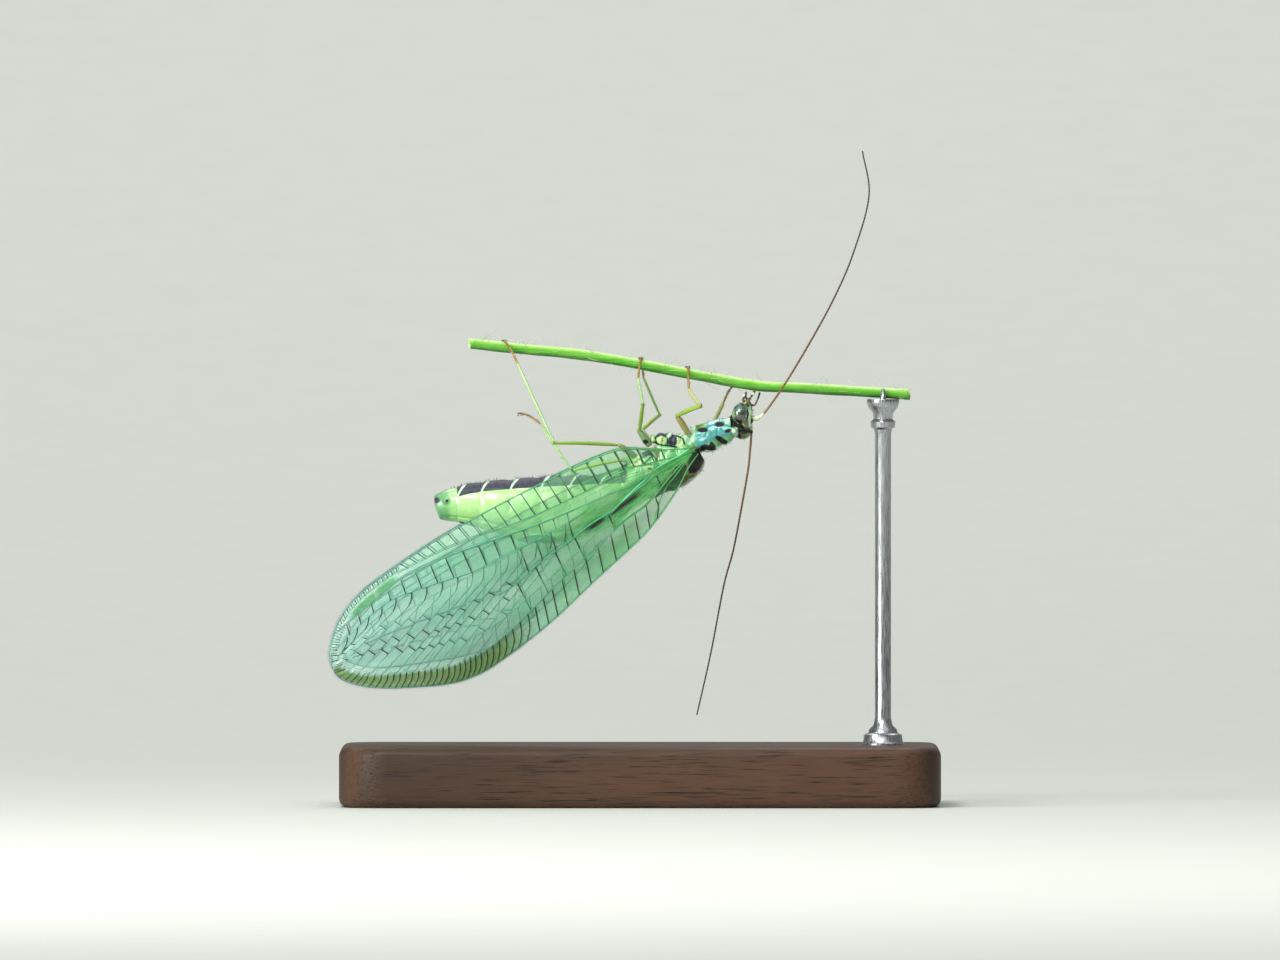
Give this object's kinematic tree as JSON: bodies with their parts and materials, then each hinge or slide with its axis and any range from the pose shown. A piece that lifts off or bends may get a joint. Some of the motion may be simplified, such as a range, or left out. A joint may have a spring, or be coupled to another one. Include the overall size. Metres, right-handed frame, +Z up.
{
  "type": "green lacewing model on a display stand",
  "caption": "Life-size green lacewing, wings folded roof-like, hanging back down by its feet under a short cut stem on a small flat stand.",
  "frame": {"origin": "centre of the stand's underside, which rests on the table", "axes": "+Z up; +X towards the insect's head; -Y its left side, which faces the camera; its belly is up"},
  "size_m": [0.0204, 0.012, 0.0218],
  "materials": {
    "stand_wood": "satin dark stained hardwood",
    "stand_metal": "fine brushed",
    "stem_green": "waxy green plant stem with pale sparse hairs",
    "head_shell": "dark glossy insect shell with pale mint marks",
    "eye": "dark metallic green faceted eye",
    "feeler": "brown to black ringed feeler",
    "thorax_shell": "turquoise to yellow-green shell with black marks",
    "abdomen_shell": "glossy yellow-green with blue-black belly plates",
    "leg": "pale green limbs with orange-brown feet",
    "wing": "clear iridescent membrane with green and black veins"
  },
  "bodies": {
    "root": {"stand_base": "stand_wood", "stand_rod": "stand_metal", "perch_stem": "stem_green", "head": "head_shell", "eye_left": "eye", "eye_right": "eye", "antenna_left": "feeler", "antenna_right": "feeler", "prothorax": "thorax_shell", "mesothorax": "thorax_shell", "metathorax": "thorax_shell", "abdomen": "abdomen_shell", "fore_leg_left": "leg", "fore_leg_right": "leg", "mid_leg_left": "leg", "mid_leg_right": "leg", "hind_leg_left": "leg", "hind_leg_right": "leg", "forewing_left": "wing", "forewing_right": "wing", "hindwing_left": "wing", "hindwing_right": "wing"}
  },
  "joints": []
}
